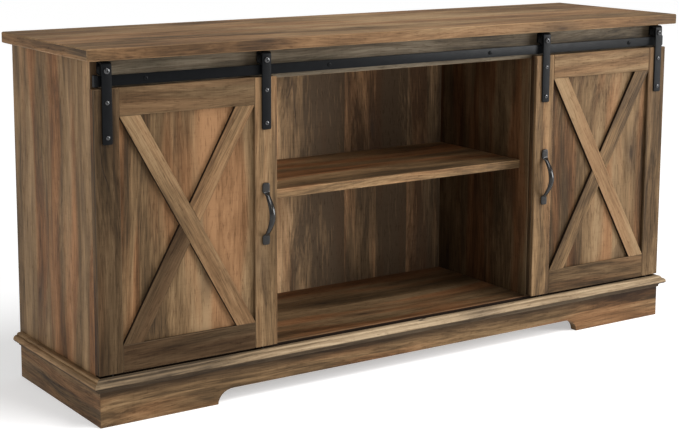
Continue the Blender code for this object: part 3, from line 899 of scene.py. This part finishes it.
@dataclass
class Track:
    """The flat bar, its bolts with their spacers, and the stops at its ends."""

    ease: float = 0.0006
    head_radius: float = 0.0045
    head_height: float = 0.0018
    spacer_radius: float = 0.006
    recess: float = 0.0019
    end_inset: float = 0.00048

    def make(self) -> None:
        """Builds the bar, socket heads on its face with spacers behind it, and dresses the stops."""
        steel = BLACK_STEEL.material()
        low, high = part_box("track_bar")
        middle, size = (low + high) / 2, np.array([high.y - low.y, high.z - low.z])
        x = np.array([low.x, low.x + self.ease, high.x - self.ease, high.x])
        inset = np.array([self.end_inset, 0.0, 0.0, self.end_inset])[:, None, None]
        across = rounded_rectangle(*size, self.ease)[None] * (1.0 - inset / size)
        along = np.broadcast_to(x[:, None], across.shape[:2])
        shell = Shell(np.stack([along, middle.y + across[..., 0], middle.z + across[..., 1]], axis=-1))
        add_piece("flat_track", [shell], steel, "cabinet", ["track_bar"])
        for side in ("left", "right"):
            dress(f"{side}_track_stop", steel)
        for number in range(1, 5):
            node = f"track_bolt_{number}"
            bolt = centre_of(node)
            seat, r, e = (bolt.x, low.y, bolt.z), self.head_radius, self.ease
            head = screw_head(r, self.head_height, seat, Axis.FRONT, Drive.HEX, self.recess)
            r, length = self.spacer_radius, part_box(node)[1].y - high.y
            near, far = arc((r - e, e), (e, e), -90, 0, 4), arc((r - e, length - e), (e, e), 0, 90, 4)
            profile = [(0.0, 0.0), *near, *far, (0.0, length)]
            shells = [head, turned(profile, (bolt.x, high.y, bolt.z), Axis.BACK)]
            add_piece(f"{node}_fine", shells, steel, "cabinet", [node])


@dataclass
class Hanger:
    """One strap, bent over the track, with its two door bolts, its axle bolt and its wheel."""

    side: str
    place: str
    thickness: float = 0.003
    bend: float = 0.0065
    tail: float = 0.0235
    front_leg_gap: float = 0.020
    back_leg_gap: float = 0.002
    ease: float = 0.0006
    corner: float = 0.0030
    bolt_drops: tuple[float, float] = (0.0745, 0.1389)
    bolt_radius: float = 0.0042
    bolt_height: float = 0.0022
    bolt_recess: float = 0.0015
    axle_recess: float = 0.38
    shank_radius: float = 0.0024
    bore: float = 0.0028
    running_radius: float = 0.0095
    hub_radius: float = 0.0045
    flange: float = 0.0018
    wheel_width: float = 0.009

    @property
    def stem(self) -> str:
        """What its CAD nodes' names start with."""
        return f"{self.side}_{self.place}"

    def make(self) -> None:
        """Builds every piece of the hanger."""
        self.add_strap()
        self.add_bolts()
        self.add_wheel()

    def strap_path(self, low: Vector, high: Vector) -> tuple[Array, Array]:
        """The strap's middle line, up the front, round two quarter bends and down behind.

        Args:
            low: Lowest corner of its box.
            high: Highest corner of its box.

        Returns:
            Points and outward normals, both as (y, z).
        """
        half, r = self.thickness / 2, self.bend - self.thickness / 2
        front, back, top = low.y + half, high.y - half, high.z - half
        bends = []
        for y, first, last in ((front + r, 180, 90), (back - r, 90, 0)):
            normal = arc((0.0, 0.0), (1.0, 1.0), first, last, 12)
            bends.append((np.array([y, top - r]) + r * normal, normal))
        rounding = self.corner * (1 - np.cos(np.linspace(0, np.pi / 2, 8)))
        up = [*(low.z + rounding), top - r - self.front_leg_gap]
        down = [top - r - self.back_leg_gap, *(high.z - self.tail + rounding[::-1])]
        legs = [
            (np.stack([np.full_like(z, y), z], axis=-1), np.tile([sign, 0.0], (len(z), 1)))
            for y, z, sign in ((front, up, -1.0), (back, down, 1.0))
        ]
        parts = [legs[0], *bends, legs[1]]
        return np.concatenate([p for p, _ in parts]), np.concatenate([n for _, n in parts])

    def add_strap(self) -> None:
        """The strap: a rounded rectangle carried along the path, with its four corners rounded off.

        Its half width grows from each end as the corner radius's quarter circle does.
        """
        node = f"{self.stem}_hanger"
        low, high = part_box(node)
        path, normal = self.strap_path(low, high)
        width = high.x - low.x
        section = rounded_rectangle(width, self.thickness, self.ease)
        steps = np.linalg.norm(np.diff(path, axis=0), axis=1)
        travel = np.concatenate([[0.0], np.cumsum(steps)])
        from_end = np.minimum(travel, travel[-1] - travel)
        short = np.clip(self.corner - from_end, 0.0, self.corner)
        half = width / 2 - self.corner + np.sqrt(self.corner**2 - short**2)
        x = (low.x + high.x) / 2 + section[None, :, 0] * (half / (width / 2))[:, None]
        yz = path[:, None, :] + normal[:, None, :] * section[None, :, 1:]
        shell, steel = Shell(np.concatenate([x[..., None], yz], axis=-1)), BLACK_STEEL.material()
        add_piece(f"{self.stem}_strap", [shell], steel, f"{self.side}_door", [node])

    def add_bolts(self) -> None:
        """The two bolts that hold the strap to the door, and the axle bolt with its shank."""
        zinc, body = BLACK_BOLT.material(), f"{self.side}_door"
        low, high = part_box(f"{self.stem}_hanger")
        face = low.y
        r, h, recess = self.bolt_radius, self.bolt_height, self.bolt_recess
        places = [((low.x + high.x) / 2, face, high.z - drop) for drop in self.bolt_drops]
        shells = [screw_head(r, h, place, Axis.FRONT, Drive.HEX, recess) for place in places]
        add_piece(f"{self.stem}_door_bolts", shells, zinc, body)

        node = f"{self.stem}_axle_bolt"
        low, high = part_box(node)
        middle = centre_of(node)
        place, radius = (middle.x, face, middle.z), (high.x - low.x) / 2
        recess = radius * self.axle_recess
        head = screw_head(radius, face - low.y, place, Axis.FRONT, Drive.HEX, recess)
        r, length = self.shank_radius, high.y - face
        shank = turned([(0.0, 0.0), (r, 0.0), (r, length), (0.0, length)], place, Axis.BACK, 24)
        add_piece(f"{self.stem}_axle", [head, shank], zinc, body, [node])

    def add_wheel(self) -> None:
        """The wheel: a grooved rim that runs on the bar, turned round a hub."""
        node = f"{self.stem}_wheel"
        low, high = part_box(node)
        middle = (low + high) / 2
        outer, r, half = (high.z - low.z) / 2, self.running_radius, self.wheel_width / 2
        e, hub, bore = self.ease, self.hub_radius, self.bore
        track_y = centre_of("track_bar").y
        front, back = low.y - track_y, high.y - track_y
        section = [
            (bore, front), (hub, front), (hub, -half),
            *arc((outer - e, -half + e), (e, e), -90, 20, 6),
            *arc((r + e, -half + self.flange + e), (e, e), 200, 180, 3),
            *arc((r + e, half - self.flange - e), (e, e), 180, 160, 3),
            *arc((outer - e, half - e), (e, e), -20, 90, 6),
            (hub, half), (hub, back), (bore, back),
        ]
        shell = turned(section, (middle.x, track_y, middle.z), Axis.BACK, 64, ring=True)
        add_piece(f"{self.stem}_roller", [shell], NYLON.material(), node, [node], 30.0)


# Each part's grain, then its tone and greyness on the left door and on the right door.
DOOR_LOOKS: dict[str, tuple[Grain, tuple[float, float], tuple[float, float]]] = {
    "panel": (Grain.ALONG_Z, (0.70, 0.5), (0.66, 0.2)),
    "left_stile": (Grain.ALONG_Z, (0.34, 0.5), (0.98, 0.1)),
    "right_stile": (Grain.ALONG_Z, (0.82, 0.3), (0.58, 0.2)),
    "top_rail": (Grain.ALONG_X, (0.48, 0.5), (0.68, 0.3)),
    "bottom_rail": (Grain.ALONG_X, (0.24, 0.5), (0.52, 0.4)),
    "long_brace": (Grain.FALLING, (0.74, 0.1), (0.74, 0.2)),
    "upper_brace": (Grain.RISING, (0.80, 0.3), (1.15, 0.0)),
    "lower_brace": (Grain.RISING, (0.28, 0.3), (0.85, 0.1)),
}


@dataclass
class Door:
    """A sliding door: its boards' finishes, handle, hangers and guide pins."""

    side: str
    seed: float
    seed_step: float = 2.3
    pale_offset: float = 0.05
    pad_length: float = 0.023
    pad_width: float = 0.0165
    pad_thickness: float = 0.004
    pad_rounding: float = 0.0080
    pad_edge: float = 0.0015
    pad_end_width: float = 0.55
    neck_width: float = 0.0085
    grip_width: float = 0.0135
    grip_thickness: float = 0.0070
    pin_flange: float = 0.0015
    pin_radius: float = 0.0035
    pin_ease: float = 0.0010

    @property
    def body(self) -> str:
        """The CAD body that all of the door's pieces ride on."""
        return f"{self.side}_door"

    def make(self) -> None:
        """Dresses the boards and builds the hardware."""
        self.dress_boards()
        self.add_handle()
        self.add_guide_pins()
        for place in ("outer", "inner"):
            Hanger(self.side, place).make()

    def dress_boards(self) -> None:
        """Gives the field a redder print than the trim, and the braces wider bands and dark edges."""
        for part, (grain, *looks) in DOOR_LOOKS.items():
            tone, grey = looks[self.side == "right"]
            start = (f"{self.side}_oak_{part}", grain, self.seed + self.seed_step * len(part), tone)
            if part == "panel":
                middle = centre_of(f"{self.body}_panel").x + self.pale_offset
                look = RusticOak(*start, 0.7, grey, 0.036, pale=(middle, 0.15, 0.36))
            elif part.endswith("brace"):
                look = RusticOak(*start, 0.3, grey, 0.045, dark_edges=True)
            else:
                look = RusticOak(*start, 0.3, grey, 0.026)
            dress(f"{self.body}_{part}", look.material())

    def add_handle(self) -> None:
        """The bow pull: superellipses carried from pad to pad.

        Along its length the grip bows out as a quarter sine, swells from the neck to the middle,
        and turns smoothly into a flat pad whose end is drawn in like a circle's.
        """
        node = f"{self.body}_handle"
        low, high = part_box(node)
        face, length, out = high.y, high.z - low.z, high.y - low.y
        rows, columns = 120, 40
        z = length * (1 - np.cos(np.pi * np.linspace(0.0, 1.0, rows))) / 2
        from_end = np.minimum(z, length - z)
        bow_start, step_start = self.pad_length * 0.8, self.pad_length * 0.75
        rise = np.clip((from_end - bow_start) / (length / 2 - bow_start), 0, 1)
        bow = np.sin(np.pi / 2 * rise)
        step = np.clip((from_end - step_start) / (self.pad_length * 0.35), 0, 1)
        pad = 1 - step * step * (3 - 2 * step)
        end, soft = (
            np.sqrt(np.clip(1 - np.clip(1 - from_end / radius, 0, 1) ** 2, 0, 1))
            for radius in (self.pad_rounding, self.pad_edge)
        )
        grip_width = self.neck_width + (self.grip_width - self.neck_width) * bow
        pad_width = self.pad_width * (self.pad_end_width + (1 - self.pad_end_width) * end) * soft
        width = (grip_width * (1 - pad) + pad_width * pad)[:, None]
        thick = ((self.grip_thickness * (1 - pad) + self.pad_thickness * pad) * soft)[:, None]
        middle = -thick / 2 - (out - self.grip_thickness) * bow[:, None]
        power = (2 / (2.0 + 1.6 * pad))[:, None]  # from an ellipse to a rounded rectangle
        angle = np.linspace(0, 2 * np.pi, columns, endpoint=False)[None]
        c, s = np.cos(angle), np.sin(angle)
        x = (low.x + high.x) / 2 + width / 2 * np.sign(c) * np.abs(c) ** power
        y = face + middle + thick / 2 * np.sign(s) * np.abs(s) ** power
        shell = Shell(np.stack([x, y, np.broadcast_to((low.z + z)[:, None], x.shape)], axis=-1))
        finish = BRONZE.material()
        add_piece(f"{self.side}_bow_handle", [shell], finish, self.body, [node])

    def add_guide_pins(self) -> None:
        """The nylon pins under the door: a flange, a round shank and an eased end."""
        nylon = NYLON.material()
        for number in (1, 2):
            node = f"{self.side}_guide_pin_{number}"
            low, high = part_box(node)
            rim, length, e = (high.x - low.x) / 2, high.z - low.z, self.pin_ease
            flange = [(0.0, 0.0), (rim, 0.0), (rim, self.pin_flange), (self.pin_radius, self.pin_flange)]
            end = arc((self.pin_radius - e, length - e), (e, e), 0, 90, 6)
            place = ((low.x + high.x) / 2, (low.y + high.y) / 2, high.z)
            shell = turned([*flange, *end, (0.0, length)], place, Axis.DOWN, 32)
            add_piece(f"{node}_fine", [shell], nylon, self.body, [node])


@dataclass
class Studio:
    """The pale floor, the soft lights and the camera."""

    floor_half: float = 30.0
    floor_albedo: float = 0.80
    floor_glow: float = 0.42
    sky: float = 0.32
    sun_power: float = 1.5
    sun_softness: float = 26.0
    sun_azimuth: float = 34.0
    sun_height: float = 54.0
    eye: tuple[float, float, float] = (-1.9125, -2.7534, 1.0104)
    yaw: float = 33.93
    pitch: float = 9.24
    roll: float = 0.255
    lens: float = 83.19
    shift_y: float = -0.12

    def make(self) -> None:
        """Builds the whole stage."""
        self.add_floor()
        self.add_world()
        self.add_sun()
        for name, place, target, size, power in (
            ("window", (4.0, -3.4, 1.3), (0.0, 0.0, 0.35), 2.2, 250.0),
            ("strip", (0.4, -3.2, 2.2), (0.0, 0.0, 0.35), 0.7, 9.0),
            ("fill", (-3.4, -1.4, 1.7), (-0.4, 0.0, 0.35), 2.0, 28.0),
        ):
            light = bpy.data.lights.new(name, "AREA")
            light.size, light.energy = size, power
            self.aim(light, Vector(place), Vector(target))
        self.add_camera()

    def add_floor(self) -> None:
        """A flat pale floor, just under the feet."""
        h = self.floor_half
        mesh = bpy.data.meshes.new("floor")
        mesh.from_pydata([(-h, -h, 0.0), (h, -h, 0.0), (h, h, 0.0), (-h, h, 0.0)], [], [(0, 1, 2, 3)])
        s = Shader("pale_floor")
        s.feed(s.principled, {
            "Base Color": (*(self.floor_albedo,) * 3, 1.0), "Roughness": 0.9, "Specular IOR Level": 0.0,
            "Emission Color": WHITE, "Emission Strength": self.floor_glow,
        })
        mesh.materials.append(s.material)
        floor = bpy.data.objects.new("floor", mesh)
        bpy.context.scene.collection.objects.link(floor)

    def add_world(self) -> None:
        """An even white surround."""
        world = bpy.data.worlds.new("surround")
        world.use_nodes = True
        background = world.node_tree.nodes["Background"]
        background.inputs["Color"].default_value = WHITE
        background.inputs["Strength"].default_value = self.sky
        bpy.context.scene.world = world
        bpy.context.scene.view_settings.view_transform = "Standard"

    def add_sun(self) -> None:
        """The main light: a wide soft sun from the front, on the right, given by two angles."""
        light = bpy.data.lights.new("key", "SUN")
        light.energy, light.angle = self.sun_power, math.radians(self.sun_softness)
        a, h = math.radians(self.sun_azimuth), math.radians(self.sun_height)
        towards = Vector((math.sin(a) * math.cos(h), -math.cos(a) * math.cos(h), math.sin(h)))
        self.aim(light, towards, Vector())

    def aim(self, light: bpy.types.Light, place: Vector, target: Vector) -> None:
        """Puts a light in the scene and turns it.

        Args:
            light: The light.
            place: Where it stands.
            target: What it points at.
        """
        lamp = bpy.data.objects.new(light.name, light)
        lamp.location = place
        lamp.rotation_euler = (target - place).to_track_quat("-Z", "Y").to_euler()
        bpy.context.scene.collection.objects.link(lamp)

    def add_camera(self) -> None:
        """The camera: turned by yaw from +Y towards +X, pitched down, then rolled."""
        camera = bpy.data.cameras.new("camera")
        camera.lens = self.lens
        camera.shift_y = self.shift_y
        eye = bpy.data.objects.new("camera", camera)
        turn = (
            Matrix.Rotation(-math.radians(self.yaw), 4, "Z")
            @ Matrix.Rotation(math.pi / 2 - math.radians(self.pitch), 4, "X")
            @ Matrix.Rotation(math.radians(self.roll), 4, "Z")
        )
        eye.matrix_world = Matrix.Translation(self.eye) @ turn
        bpy.context.scene.collection.objects.link(eye)
        bpy.context.scene.camera = eye


def main() -> None:
    """Builds the sub-assemblies in order, then the stage."""
    logging.basicConfig(level=logging.INFO, format="%(name)s: %(message)s", stream=sys.stdout)
    for part in (Studio(), Case(), Plinth(), Track(), Door("left", 60.3), Door("right", 90.7)):
        log.info("making %s", type(part).__name__)
        part.make()


if __name__ == "__main__":
    main()
